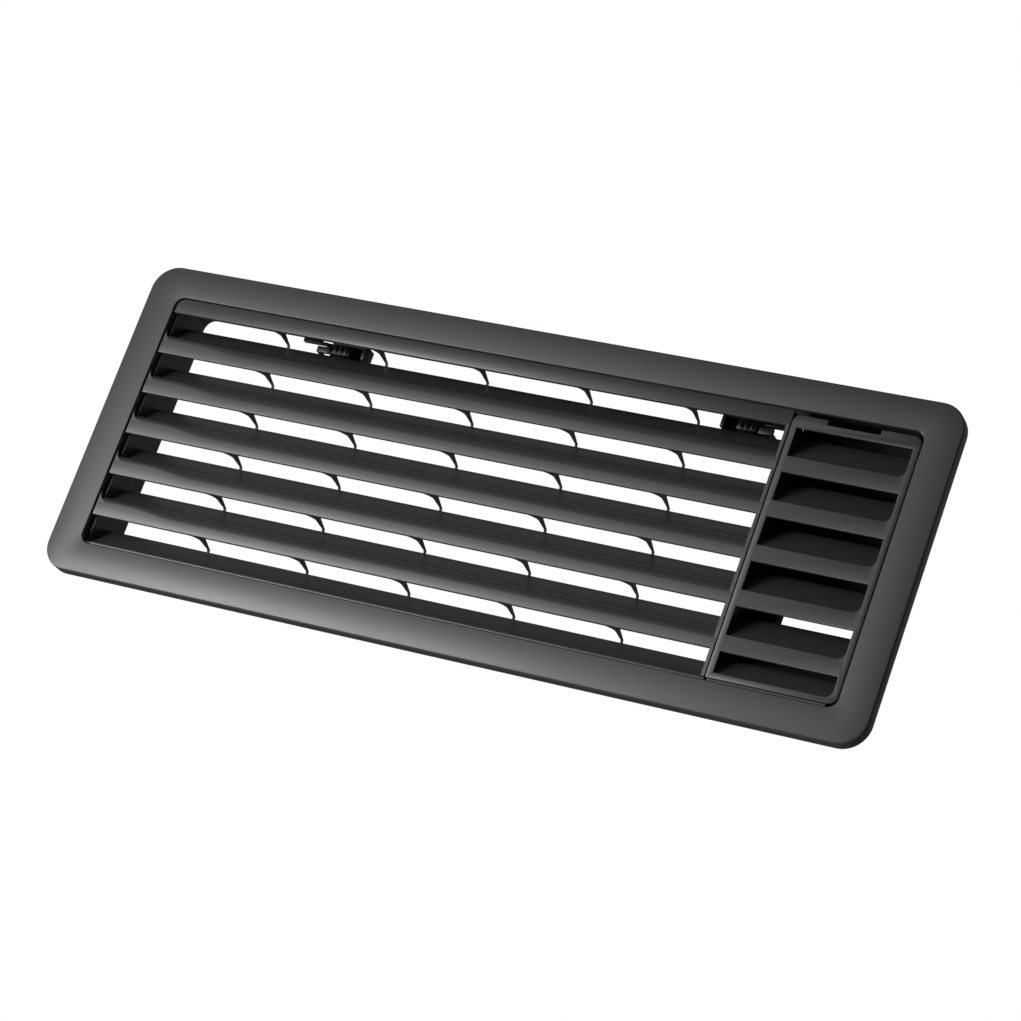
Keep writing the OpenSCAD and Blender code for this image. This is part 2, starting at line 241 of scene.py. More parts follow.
def makeMouldSkin():
    # fine spark-eroded texture of a moulding, with broad, faint drifts in tone and gloss
    group, given, result = shaderGroup(
        "mouldSkin",
        [("Place", "NodeSocketVector", (0, 0, 0)), ("Tone", "NodeSocketColor", (0.05, 0.05, 0.05, 1)),
         ("Grain Scale", "NodeSocketFloat", 1800), ("Drift", "NodeSocketFloat", 0.1),
         ("Roughness", "NodeSocketFloat", 0.45)],
        [("Color", "NodeSocketColor"), ("Roughness", "NodeSocketFloat"), ("Height", "NodeSocketFloat")])
    link = group.links.new
    fine = newNode(group, "ShaderNodeTexNoise", Detail=3.0, Roughness=0.6)
    link(given.outputs["Place"], fine.inputs["Vector"])
    link(given.outputs["Grain Scale"], fine.inputs["Scale"])
    pits = newNode(group, "ShaderNodeTexVoronoi", {"feature": "SMOOTH_F1"}, Smoothness=0.6)
    link(given.outputs["Place"], pits.inputs["Vector"])
    link(mathNode(group, "MULTIPLY", given.outputs["Grain Scale"], 0.45), pits.inputs["Scale"])
    broad = newNode(group, "ShaderNodeTexNoise", Scale=9.0, Detail=4.0, Roughness=0.5)
    link(given.outputs["Place"], broad.inputs["Vector"])
    offCentre = mathNode(group, "SUBTRACT", broad.outputs["Fac"], 0.5)
    drift = mathNode(group, "MULTIPLY", offCentre, given.outputs["Drift"])
    speck = mathNode(group, "MULTIPLY", mathNode(group, "SUBTRACT", fine.outputs["Fac"], 0.5), 0.25)
    bright = mathNode(group, "ADD", mathNode(group, "ADD", drift, speck), 1.0)
    tone = newNode(group, "ShaderNodeVectorMath", {"operation": "SCALE"})
    link(given.outputs["Tone"], tone.inputs[0])
    link(bright, tone.inputs["Scale"])
    link(tone.outputs[0], result.inputs["Color"])
    dull = mathNode(group, "ADD", given.outputs["Roughness"], mathNode(group, "MULTIPLY", drift, 0.7))
    link(mathNode(group, "ADD", dull, mathNode(group, "MULTIPLY", speck, 0.5)), result.inputs["Roughness"])
    pitted = mathNode(group, "MULTIPLY", pits.outputs["Distance"], 0.8)
    link(mathNode(group, "ADD", fine.outputs["Fac"], pitted), result.inputs["Height"])
    return group


def makeFoamCells():
    # closed cells cut open at the surface
    group, given, result = shaderGroup(
        "foamCells",
        [("Place", "NodeSocketVector", (0, 0, 0)), ("Tone", "NodeSocketColor", (0.02, 0.02, 0.02, 1)),
         ("Cell Scale", "NodeSocketFloat", 1100)],
        [("Color", "NodeSocketColor"), ("Height", "NodeSocketFloat")])
    link = group.links.new
    cells = newNode(group, "ShaderNodeTexVoronoi", {"feature": "SMOOTH_F1"}, Smoothness=0.4)
    link(given.outputs["Place"], cells.inputs["Vector"])
    link(given.outputs["Cell Scale"], cells.inputs["Scale"])
    blotch = newNode(group, "ShaderNodeTexNoise", Scale=60.0, Detail=3.0)
    link(given.outputs["Place"], blotch.inputs["Vector"])
    shade = mathNode(group, "ADD", mathNode(group, "MULTIPLY", cells.outputs["Distance"], 0.9),
                     mathNode(group, "MULTIPLY", blotch.outputs["Fac"], 0.8))
    tone = newNode(group, "ShaderNodeVectorMath", {"operation": "SCALE"})
    link(given.outputs["Tone"], tone.inputs[0])
    link(shade, tone.inputs["Scale"])
    link(tone.outputs[0], result.inputs["Color"])
    link(cells.outputs["Distance"], result.inputs["Height"])
    return group


def newMaterial(name, group, values, inputs):
    # a principled surface fed by one group; values go on the shader, inputs on the group
    material = bpy.data.materials.new(name)
    material.use_nodes = True
    tree = material.node_tree
    shader = tree.nodes["Principled BSDF"]
    for key, value in values.items():
        if key != "Bump":
            shader.inputs[key].default_value = value
    place = tree.nodes.new("ShaderNodeTexCoord")
    skin = tree.nodes.new("ShaderNodeGroup")
    skin.node_tree = group
    for key, value in inputs.items():
        skin.inputs[key].default_value = value
    tree.links.new(place.outputs["Object"], skin.inputs["Place"])
    tree.links.new(skin.outputs["Color"], shader.inputs["Base Color"])
    if "Roughness" in skin.outputs:
        tree.links.new(skin.outputs["Roughness"], shader.inputs["Roughness"])
    bump = newNode(tree, "ShaderNodeBump", Strength=values["Bump"], Distance=0.02 * mm)
    tree.links.new(skin.outputs["Height"], bump.inputs["Height"])
    tree.links.new(bump.outputs["Normal"], shader.inputs["Normal"])
    return material


mouldSkin = makeMouldSkin()
foamCells = makeFoamCells()
finishes = {
    "frame_plastic": {"tone": (0.040, 0.042, 0.046), "rough": 0.34, "grain": 1700, "drift": 0.10, "bump": 0.55},
    "grille_plastic": {"tone": (0.040, 0.042, 0.046), "rough": 0.34, "grain": 1700, "drift": 0.12, "bump": 0.55},
    "cover_plastic": {"tone": (0.038, 0.040, 0.044), "rough": 0.36, "grain": 1700, "drift": 0.10, "bump": 0.55},
    "guide_plastic": {"tone": (0.020, 0.021, 0.023), "rough": 0.46, "grain": 2100, "drift": 0.12, "bump": 0.5},
    "catch_plastic": {"tone": (0.014, 0.014, 0.016), "rough": 0.38, "grain": 2300, "drift": 0.10, "bump": 0.4},
    "tray_plastic": {"tone": (0.004, 0.004, 0.0045), "rough": 0.65, "ior": 1.3, "grain": 1400, "drift": 0.20,
                     "bump": 0.8},
}
skins = {}
for slot, look in finishes.items():
    skins[slot] = newMaterial(slot + "Finish", mouldSkin, {"Bump": look["bump"], "IOR": look.get("ior", 1.5)},
                              {"Tone": (*look["tone"], 1), "Grain Scale": look["grain"],
                               "Drift": look["drift"], "Roughness": look["rough"]})
skins["foam"] = newMaterial("foamFinish", foamCells, {"Bump": 1.0, "Roughness": 0.9, "IOR": 1.4},
                            {"Tone": (0.030, 0.030, 0.031, 1), "Cell Scale": 1100})
skins["seal_rubber"] = newMaterial("sealFinish", mouldSkin, {"Bump": 0.5, "IOR": 1.52},
                                   {"Tone": (0.018, 0.018, 0.020, 1), "Grain Scale": 1200,
                                    "Drift": 0.3, "Roughness": 0.62})
skins["screw_steel"] = newMaterial("zincFinish", mouldSkin, {"Bump": 0.3, "Metallic": 1.0},
                                   {"Tone": (0.50, 0.51, 0.53, 1), "Grain Scale": 2600,
                                    "Drift": 0.35, "Roughness": 0.30})
print("finishes made:", len(skins))

# Geometry trees


def newTree(name, inputs):
    tree = bpy.data.node_groups.new(name, "GeometryNodeTree")
    tree.interface.new_socket(name="Piece", in_out="INPUT", socket_type="NodeSocketGeometry")
    for label, kind in inputs:
        tree.interface.new_socket(name=label, in_out="INPUT", socket_type=kind)
    tree.interface.new_socket(name="Result", in_out="OUTPUT", socket_type="NodeSocketGeometry")
    return tree, tree.nodes.new("NodeGroupInput"), tree.nodes.new("NodeGroupOutput")


def makeSetOut():
    # repeats the piece in columns along X and rows along Z
    tree, given, result = newTree("setOut", [
        ("Columns", "NodeSocketInt"), ("Column Pitch", "NodeSocketFloat"), ("Rows", "NodeSocketInt"),
        ("Row Pitch", "NodeSocketFloat"), ("Finish", "NodeSocketMaterial")])
    link = tree.links.new
    lines = []
    for count, pitch, axis in (("Columns", "Column Pitch", "X"), ("Rows", "Row Pitch", "Z")):
        step = tree.nodes.new("ShaderNodeCombineXYZ")
        link(given.outputs[pitch], step.inputs[axis])
        line = tree.nodes.new("GeometryNodeMeshLine")
        link(given.outputs[count], line.inputs["Count"])
        link(step.outputs[0], line.inputs["Offset"])
        lines.append(line)
    places = tree.nodes.new("GeometryNodeInstanceOnPoints")
    link(lines[1].outputs["Mesh"], places.inputs["Points"])
    link(lines[0].outputs["Mesh"], places.inputs["Instance"])
    laidOut = tree.nodes.new("GeometryNodeRealizeInstances")
    link(places.outputs[0], laidOut.inputs[0])
    copies = tree.nodes.new("GeometryNodeInstanceOnPoints")
    link(laidOut.outputs[0], copies.inputs["Points"])
    link(given.outputs["Piece"], copies.inputs["Instance"])
    solid = tree.nodes.new("GeometryNodeRealizeInstances")
    link(copies.outputs[0], solid.inputs[0])
    painted = tree.nodes.new("GeometryNodeSetMaterial")
    link(solid.outputs[0], painted.inputs["Geometry"])
    link(given.outputs["Finish"], painted.inputs["Material"])
    link(painted.outputs[0], result.inputs[0])
    return tree


def makeThread():
    # adds a helical thread to a screw's shank, from a spiral swept with a small triangle
    tree, given, result = newTree("screwThread", [
        ("Core Radius", "NodeSocketFloat"), ("Depth", "NodeSocketFloat"), ("Length", "NodeSocketFloat"),
        ("Turns", "NodeSocketFloat"), ("Start", "NodeSocketVector"), ("Finish", "NodeSocketMaterial")])
    link = tree.links.new
    spiral = tree.nodes.new("GeometryNodeCurveSpiral")
    spiral.inputs["Resolution"].default_value = 20
    for label, socket in (("Turns", "Rotations"), ("Core Radius", "Start Radius"),
                          ("Core Radius", "End Radius"), ("Length", "Height")):
        link(given.outputs[label], spiral.inputs[socket])
    ridge = tree.nodes.new("GeometryNodeCurvePrimitiveCircle")
    ridge.inputs["Resolution"].default_value = 3
    link(given.outputs["Depth"], ridge.inputs["Radius"])
    swept = tree.nodes.new("GeometryNodeCurveToMesh")
    swept.inputs["Fill Caps"].default_value = True
    link(spiral.outputs[0], swept.inputs["Curve"])
    link(ridge.outputs[0], swept.inputs["Profile Curve"])
    moved = tree.nodes.new("GeometryNodeTransform")
    link(swept.outputs[0], moved.inputs["Geometry"])
    link(given.outputs["Start"], moved.inputs["Translation"])
    both = tree.nodes.new("GeometryNodeJoinGeometry")
    link(given.outputs["Piece"], both.inputs[0])
    link(moved.outputs[0], both.inputs[0])
    solid = tree.nodes.new("GeometryNodeRealizeInstances")
    link(both.outputs[0], solid.inputs[0])
    painted = tree.nodes.new("GeometryNodeSetMaterial")
    link(solid.outputs[0], painted.inputs["Geometry"])
    link(given.outputs["Finish"], painted.inputs["Material"])
    link(painted.outputs[0], result.inputs[0])
    return tree


def throughTree(piece, tree, values):
    modifier = piece.modifiers.new(tree.name, "NODES")
    modifier.node_group = tree
    for item in tree.interface.items_tree:
        if item.in_out == "INPUT" and item.name in values:
            modifier[item.identifier] = values[item.name]
    return settled(piece)


setOut = makeSetOut()
screwThread = makeThread()
print("trees made: setOut, screwThread")

# Mounting frame
frameSizes = {"flangeSide": 20.4, "flangeTop": 18.9, "openingCorner": 6, "flangeCorner": 16, "plateThick": 2.4,
              "skirtThick": 2.5, "outerEase": 1.0, "innerEase": 0.55, "skirtDepth": 8, "collarCorner": 7,
              "collarRelief": 4.2, "collarThick": 2.4, "ledgeDepth": 6.5, "keeperX": (5.8, 0.6),
              "keeperY": (14.6, 17.4), "keeperLow": 78, "stopX": (26, 5), "stopY": (1, 3), "stopLow": 77,
              "wallHoles": (-210, -90, 30, 150), "wallHoleY": 30, "wallHoleRadius": 2.2, "trayHoleX": 181,
              "trayHoleGap": 40, "trayHoleY": 27, "trayHoleRadius": 1.75}
halfOpenW = frameHigh[0] - frameSizes["flangeSide"]
halfOpenH = frameHigh[2] - frameSizes["flangeTop"]
halfCollarH = halfOpenH + frameSizes["collarRelief"]
collarBack = front + 40
hinge = {"y": front + 3, "z": -halfOpenH + 1.1, "bead": 1.5, "play": 0.06}


def makeMountingFrame():
    s = frameSizes
    steps = 5
    plateBack = front + s["plateThick"]
    wallFace = front + s["skirtDepth"]
    rings = []

    def ring(halfWide, halfHigh, corner, y):
        rings.append([(x, y, z) for x, z in roundedOutline(halfWide, halfHigh, corner)])

    def nearOpening(q, y):
        ring(halfOpenW + q, halfOpenH + q, s["openingCorner"] + q, y)

    def nearRim(q, y):
        ring(frameHigh[0] - q, frameHigh[2] - q, s["flangeCorner"] - q, y)

    def nearCollar(q, y):
        ring(halfOpenW + q, halfCollarH + q, s["collarCorner"] + q, y)

    quarter = arcAngles(0, math.pi / 2, steps)
    for a in quarter:  # front edge of the opening
        nearOpening(s["innerEase"] * (1 - math.cos(a)), front + s["innerEase"] * (1 - math.sin(a)))
    for a in quarter:  # rounded rim
        nearRim(s["outerEase"] * (1 - math.sin(a)), front + s["outerEase"] * (1 - math.cos(a)))
    for a in quarter:  # skirt's edge against the wall
        nearRim(0.4 * (1 - math.cos(a)), wallFace - 0.4 * (1 - math.sin(a)))
    nearRim(s["skirtThick"] - 0.3, wallFace)
    nearRim(s["skirtThick"], wallFace - 0.3)
    for a in quarter:  # inside corner between skirt and plate
        nearRim(s["skirtThick"] + 1 - math.cos(a), plateBack + 1 - math.sin(a))
    for a in quarter:  # inside corner between plate and collar
        nearCollar(s["collarThick"] + 1 - math.sin(a), plateBack + 1 - math.cos(a))
    for a in quarter:
        nearCollar(s["collarThick"] - 0.5 * (1 - math.cos(a)), collarBack - 0.5 * (1 - math.sin(a)))
    for a in quarter:
        nearCollar(0.5 * (1 - math.sin(a)), collarBack - 0.5 * (1 - math.cos(a)))
    nearCollar(0, plateBack)
    nearOpening(0, plateBack)
    bm = bmesh.new()
    addLoft(bm, rings, closed=True)
    # ledge that carries the hinge groove
    addBlock(bm, (-halfOpenW - 0.5, front + 1, -halfCollarH - 0.5),
             (halfOpenW + 0.5, front + s["ledgeDepth"], -halfOpenH), 0.2)
    # keepers for the two catches, each with a stop behind it
    hookX, guideBack, top = guideHigh[0], guideHigh[1], halfCollarH + 0.5
    for side in (-1, 1):
        addBlock(bm, (side * (hookX - s["keeperX"][0]), front + s["keeperY"][0], s["keeperLow"]),
                 (side * (hookX - s["keeperX"][1]), front + s["keeperY"][1], top))
        addBlock(bm, (side * (hookX - s["stopX"][0]), guideBack + s["stopY"][0], s["stopLow"]),
                 (side * (hookX - s["stopX"][1]), guideBack + s["stopY"][1], top))
    piece = pieceFrom(bm, "mountingFrame")
    holes = bmesh.new()
    places = [(x, s["wallHoleY"], s["wallHoleRadius"]) for x in s["wallHoles"]]
    places += [(s["trayHoleX"] + gap, s["trayHoleY"], s["trayHoleRadius"]) for gap in (0, s["trayHoleGap"])]
    for x, y, radius in places:
        addTurned(holes, [(radius, -120), (radius, 120)], (x, front + y, 0), 24)
    grooveX = halfOpenW - s["openingCorner"]
    groove = hinge["bead"] + hinge["play"]
    addBarX(holes, [(hinge["y"] + groove * math.cos(a), hinge["z"] + groove * math.sin(a))
                    for a in arcAngles(0, 2 * math.pi, 32)[:-1]], -grooveX, grooveX)
    return cutBy(piece, pieceFrom(holes, "frameCutter"))


finished(makeMountingFrame(), "frame", "frame_plastic", skins["frame_plastic"], "mounting_frame")
print("mounting frame made")

# Louvred grille
grilleSizes = {"recess": 1, "thick": 2, "railHigh": 9.4, "railCorner": 5.5, "edgeEase": 0.35, "slots": 6,
               "pitch": 26.8, "faceHigh": 5.5, "faceHighAtEnd": 8.5, "bend": 8, "back": 19.5, "rise": 24.8,
               "blendFrom": 22, "blendTo": 55, "endFillet": 7, "endThick": 1.5, "postThick": 2, "endRecess": 5,
               "gusset": 8, "gussetThick": 1.2, "strutThick": 1.1, "strutFirst": -166.5, "strutPitch": 67.1,
               "struts": 5, "bodyBack": 38, "endPlateTop": (77.2, 73.2), "postRearTop": 74.4, "shelfHalf": 16,
               "shelfFront": 13, "shelfLow": 60, "shelfHigh": 62, "screwAside": 11, "screwY": 25,
               "screwHoleRadius": 1.3, "screwFoot": 58.6}
faceY = front + grilleSizes["recess"]
grilleX0, grilleX1 = grilleLow[0], grilleHigh[0]
grilleTop = halfOpenH - 0.5
slotTop = grilleTop - grilleSizes["railHigh"]
lowestZ = slotTop - grilleSizes["slots"] * grilleSizes["pitch"]
bendY = faceY + grilleSizes["bend"]
crest = grilleSizes["faceHigh"] + grilleSizes["bend"]
slope = math.atan2(grilleSizes["rise"] - crest, front + grilleSizes["back"] - bendY)


def smoothStep(value):
    value = min(max(value, 0), 1)
    return value * value * (3 - 2 * value)


def louvreSection(faceHigh):
    # (y, z) points up the front, over the bend, up the slope, and back down the inside
    s = grilleSizes
    thick = s["thick"]
    tip = Vector((front + s["back"], s["rise"]))
    drop = Vector((math.sin(slope), -math.cos(slope))) * thick
    along = Vector((math.cos(slope), math.sin(slope)))
    outer = crest - faceHigh
    inner = max(outer - thick, 0.3)
    points = [(faceY + thick - 0.4, 0), (faceY + 0.5, 0)]
    points += [(faceY + 0.5 - 0.5 * math.sin(a), 0.5 - 0.5 * math.cos(a))
               for a in arcAngles(0.3, math.pi / 2, 4)]
    points += [(bendY + s["bend"] * math.cos(a), faceHigh + outer * math.sin(a))
               for a in arcAngles(math.pi, math.pi / 2, 16)]
    # rounded rear edge, as shares of the thickness and millimetres back along the slope
    points += [tuple(tip + drop * share - along * inset) for share, inset in
               ((0, 0.5), (0.12, 0.1), (0.3, 0), (0.75, 0), (0.93, 0.15), (1, 0.5))]
    foot = Vector((bendY, crest)) + drop
    back = (foot.y - (crest - thick)) / math.tan(slope)
    points += [(bendY + thick / 2, crest - thick + (bendY + thick / 2 - foot.x + back) * math.tan(slope))]
    points += [(foot.x - back, crest - thick)]
    points += [(bendY + (s["bend"] - thick) * math.cos(a), faceHigh + inner * math.sin(a))
               for a in arcAngles(math.pi / 2 + 0.15, math.pi, 8)]
    return points + [(faceY + thick, 0.4)]


def makeLouvre():
    s = grilleSizes
    length = grilleX1 - grilleX0
    stations = [0, 1.5, 4, 8, 12, 17] + [s["blendFrom"] + 3.3 * i for i in range(11)]
    stations += [90, 160, 240, 320, length]
    rings = []
    for along in stations:
        blend = 1 - smoothStep((along - s["blendFrom"]) / (s["blendTo"] - s["blendFrom"]))
        faceHigh = s["faceHigh"] + (s["faceHighAtEnd"] - s["faceHigh"]) * blend
        rings.append([(grilleX0 + along, y, slotTop - s["pitch"] + z) for y, z in louvreSection(faceHigh)])
    bm = bmesh.new()
    addLoft(bm, rings)
    # fillet between the louvre's front and the left end
    r = s["endFillet"]
    z0 = slotTop - s["pitch"] + s["faceHighAtEnd"]
    curve = [(grilleX0 + r * (1 - math.sin(a)), z0 + r * (1 - math.cos(a)))
             for a in arcAngles(0, math.pi / 2, 12)]
    outline = [(grilleX0, z0 - 0.03), (grilleX0 + r, z0 - 0.03)] + curve
    addLoft(bm, [[(x, y, z) for x, z in outline] for y in (faceY, faceY + s["thick"])])
    piece = pieceFrom(bm, "louvre", 30)
    return throughTree(piece, setOut, {"Columns": 1, "Column Pitch": 0.0, "Rows": s["slots"] - 1,
                                       "Row Pitch": -s["pitch"] * mm, "Finish": skins["grille_plastic"]})


def strutSection(underRail):
    # thin web from a louvre's lower edge back to the rear edge of the louvre below
    s = grilleSizes
    low = s["pitch"]
    back = front + s["back"]
    points = [(faceY + 0.4, low + 0.2), (front + 9.5, low - 0.2), (back - 1.4, low - 1.1),
              (back - 0.6, low - 2.7), (back + 0.7, low - 2.4), (back + 0.4, low - 0.6), (front + 11, low + 2.6)]
    if underRail:
        points += [(faceY + s["thick"] - 0.4, low + 6)]
    else:
        points += [(bendY - 0.6, low + crest - 1.5), (faceY + 1, low + 4)]
    return points


def makeStruts():
    s = grilleSizes
    sets = []
    half = s["strutThick"] / 2
    for rows, underRail in ((1, True), (s["slots"] - 1, False)):
        bm = bmesh.new()
        top = slotTop - s["pitch"] * (1 if underRail else 2)
        section = [(y, top + z) for y, z in eased(strutSection(underRail), 0.4, 3)]
        addBarX(bm, section, s["strutFirst"] - half, s["strutFirst"] + half)
        # level gusset between the louvre's back and the strut's left side
        r = s["gusset"]
        y0 = faceY + s["thick"] - 0.3
        x0 = s["strutFirst"] - half
        arc = [(x0 - r + r * math.sin(a), y0 + r - r * math.cos(a)) for a in arcAngles(0, math.pi / 2, 12)]
        outline = arc + [(x0 + 0.2, y0 + r), (x0 + 0.2, y0)]
        foot = top + s["pitch"] + 0.2
        addLoft(bm, [[(x, y, z) for x, y in outline] for z in (foot, foot + s["gussetThick"])])
        piece = pieceFrom(bm, "strut")
        sets.append(throughTree(piece, setOut, {
            "Columns": s["struts"], "Column Pitch": s["strutPitch"] * mm, "Rows": rows,
            "Row Pitch": -s["pitch"] * mm, "Finish": skins["grille_plastic"]}))
    return sets


def makeGrilleBody():
    s = grilleSizes
    bm = bmesh.new()
    # top rail, its upper left corner rounded and its edges eased
    r = s["railCorner"]
    corner = [(grilleX0 + r * (1 - math.sin(a)), grilleTop - r * (1 - math.cos(a)))
              for a in arcAngles(0, math.pi / 2, 10)]
    outline = corner + [(grilleX0, slotTop), (grilleX1, slotTop), (grilleX1, grilleTop)]
    middle = Vector(((grilleX0 + grilleX1) / 2, (slotTop + grilleTop) / 2))
    ease = s["edgeEase"]
    rings = []
    for inset, y in ((ease, faceY), (ease * 0.3, faceY + ease * 0.3), (0, faceY + ease),
                     (0, faceY + s["thick"])):
        rings.append([(x - math.copysign(min(inset, abs(x - middle.x)), x - middle.x), y,
                       z - math.copysign(min(inset, abs(z - middle.y)), z - middle.y)) for x, z in outline])
    addLoft(bm, rings)
    # lowest louvre, which starts from the bead
    base = hinge["z"]
    drop = Vector((math.sin(slope), -math.cos(slope))) * s["thick"]
    tip = Vector((front + s["back"], lowestZ + s["rise"]))
    section = [(front + 3, base + 1.2), (bendY - 2.4, base + 1.2), (bendY, lowestZ + crest), tuple(tip),
               tuple(tip + drop), (bendY + 1.6, lowestZ + crest - 1.6), (bendY - 0.6, base - 0.3),
               (front + 3, base - 0.3)]
    addBarX(bm, eased(section, 0.8), grilleX0 + s["endThick"] - 0.2, grilleX1)
    bead = [(hinge["y"] + hinge["bead"] * math.cos(a), base + hinge["bead"] * math.sin(a))
            for a in arcAngles(0, 2 * math.pi, 24)[:-1]]
    addBarX(bm, bead, grilleX0 + s["endFillet"] - 1, grilleX1)
    # left end plate, its foot cut back to clear the frame's corner, and the right-hand post
    back = front + s["bodyBack"]
    recess = front + s["endRecess"]
    endPlate = [(recess, base + 8), (recess, s["endPlateTop"][0]), (back, s["endPlateTop"][1]),
                (back, base - 0.4), (recess + 6, base - 0.4), (recess + 3, base + 2)]
    addBarX(bm, eased(endPlate, 0.6), grilleX0, grilleX0 + s["endThick"])
    post = [(faceY + 0.04, base + 0.9), (faceY + 0.04, grilleTop - 1.6), (front + 6, grilleTop - 0.4),
            (back, s["postRearTop"]), (back, base - 0.4), (front + 7, base - 0.4)]
    addBarX(bm, eased(post, 0.6), grilleX1 - s["postThick"], grilleX1)
    # shelf behind the first louvre for each catch guide
    for side in (-1, 1):
        addBlock(bm, (side * catchX - s["shelfHalf"], front + s["shelfFront"], s["shelfLow"]),
                 (side * catchX + s["shelfHalf"], guideHigh[1], s["shelfHigh"]), 0.35)
    piece = pieceFrom(bm, "grilleBody")
    holes = bmesh.new()
    aside, radius = s["screwAside"], s["screwHoleRadius"]
    for x in (-catchX - aside, -catchX + aside, catchX - aside, catchX + aside):
        addTurned(holes, [(radius, s["shelfLow"] - 1), (radius, s["shelfHigh"] + 1)], (x, front + s["screwY"], 0), 20)
    return cutBy(piece, pieceFrom(holes, "shelfCutter"))


louvres = makeLouvre()
struts = makeStruts()
finished(joined("louvreGrille", [makeGrilleBody(), louvres, *struts]), "grille", "grille_plastic",
         skins["grille_plastic"], "louvre_grille")
print("grille made:", grilleSizes["slots"], "slots,", grilleSizes["struts"], "struts to a slot")

# Catches
for side in ("left", "right"):
    guide = softened("catch_guide_" + side, "catchGuide" + side.title(), 0.25)
    finished(guide, "grille", "guide_plastic", skins["guide_plastic"], "catch_guide_" + side)
    slide = softened("catch_slide_" + side, "catchSlide" + side.title(), 0.22)
    finished(slide, "catch_" + side, "catch_plastic", skins["catch_plastic"], "catch_slide_" + side)
print("catches made")

# Flue cover
coverSizes = {"thick": 2, "ease": 0.35, "side": 3.7, "corner": 5.2, "nearCorner": 4.2, "pocketHigh": 17,
              "lastPocketHigh": 12.3, "pocketCorner": 4.5, "topRail": 7.6, "scoopBack": 17, "scoopRise": 17.4,
              "notchWide": 31, "notchHigh": 3, "notchX": 199, "wallThick": 1.8}


def plateWithHoles(name, outline, holes, y0, thick, ease):
    # flat plate with its edges rounded, from a filled 2D curve
    data = bpy.data.curves.new(name, "CURVE")
    data.dimensions = "2D"
    data.fill_mode = "BOTH"
    for loop in [outline] + holes:
        spline = data.splines.new("POLY")
        spline.points.add(len(loop) - 1)
        spline.use_cyclic_u = True
        for point, (x, z) in zip(spline.points, loop):
            point.co = (x * mm, z * mm, 0, 1)
    data.extrude = (thick / 2 - ease) * mm
    data.bevel_depth = ease * mm
    data.bevel_resolution = 2
    data.offset = -ease * mm
    shape = bpy.data.objects.new(name, data)
    bpy.context.scene.collection.objects.link(shape)
    bpy.context.view_layer.update()
    mesh = bpy.data.meshes.new_from_object(shape.evaluated_get(bpy.context.evaluated_depsgraph_get()))
    bpy.data.objects.remove(shape)
    mesh.transform(Matrix(((1, 0, 0, 0), (0, 0, 1, (y0 + thick / 2) * mm), (0, 1, 0, 0), (0, 0, 0, 1))))
    bm = bmesh.new()
    bm.from_mesh(mesh)
    return bm


def pocketOutline(x0, x1, top, high):
    r = coverSizes["pocketCorner"]
    arc = [(x1 - r + r * math.sin(a), top - high + r - r * math.cos(a)) for a in arcAngles(0, math.pi / 2, 8)]
    return [(x0, top), (x0, top - high)] + arc + [(x1, top)]


def makeFlueCover():
    s = coverSizes
    x0, x1 = coverLow[0], coverHigh[0]
    foot = hinge["z"] + 0.9
    top = coverHigh[2]
    r, q = s["corner"], s["nearCorner"]
    arc = arcAngles(0, math.pi / 2, 8)
    notch0 = s["notchX"] - s["notchWide"] / 2
    notch1 = s["notchX"] + s["notchWide"] / 2
    outline = [(x0, foot)]
    outline += [(x1 - r + r * math.sin(a), foot + r - r * math.cos(a)) for a in arc]
    outline += [(x1 - r + r * math.cos(a), top - r + r * math.sin(a)) for a in arc]
    outline += [(notch1, top), (notch1, top - s["notchHigh"]), (notch0, top - s["notchHigh"]), (notch0, top)]
    outline += [(x0 + q - q * math.sin(a), top - q + q * math.cos(a)) for a in arc]
    tops = [top - s["topRail"] - i * grilleSizes["pitch"] for i in range(grilleSizes["slots"])]
    heights = [s["pocketHigh"]] * (grilleSizes["slots"] - 1) + [s["lastPocketHigh"]]
    pockets = [pocketOutline(x0 + s["side"], x1 - s["side"], z, high) for z, high in zip(tops, heights)]
    flat = plateWithHoles("coverPlate", outline, pockets, faceY, s["thick"], s["ease"])
    plate = pieceFrom(flat, "coverPlate", scale=1)
    # one scoop behind each pocket
    scoop = bmesh.new()
    high = s["scoopRise"]
    plateBack = faceY + s["thick"]
    scoopBack = front + s["scoopBack"]
    section = [(plateBack - 0.4, -0.3), (scoopBack, high), (scoopBack + 1.2, high - 1.2),
               (plateBack + 1.2, -1.6), (plateBack - 0.4, -1.6)]
    foot1 = tops[0] - s["pocketHigh"]
    addBarX(scoop, eased([(y, foot1 + z) for y, z in section], 0.5, 3), x0 + 1, x1 - 1)
    scoops = throughTree(pieceFrom(scoop, "scoop"), setOut, {
        "Columns": 1, "Column Pitch": 0.0, "Rows": grilleSizes["slots"] - 1,
        "Row Pitch": -grilleSizes["pitch"] * mm, "Finish": skins["cover_plastic"]})
    rest = bmesh.new()
    foot6 = tops[-1] - s["lastPocketHigh"]
    addBarX(rest, eased([(y, foot6 + z) for y, z in section], 0.5, 3), x0 + 1, x1 - 1)
    for wall in (x0, x1 - s["wallThick"]):
        addBlock(rest, (wall, faceY + 0.5, hinge["z"] + r), (wall + s["wallThick"], scoopBack, top - r))
    addBarX(rest, [(hinge["y"] + hinge["bead"] * math.cos(a), hinge["z"] + hinge["bead"] * math.sin(a))
                   for a in arcAngles(0, 2 * math.pi, 24)[:-1]], x0 + 1, x1 - 6)
    return joined("flueCover", [plate, scoops, pieceFrom(rest, "coverRest")])


finished(makeFlueCover(), "cover", "cover_plastic", skins["cover_plastic"], "flue_cover")
print("flue cover made")

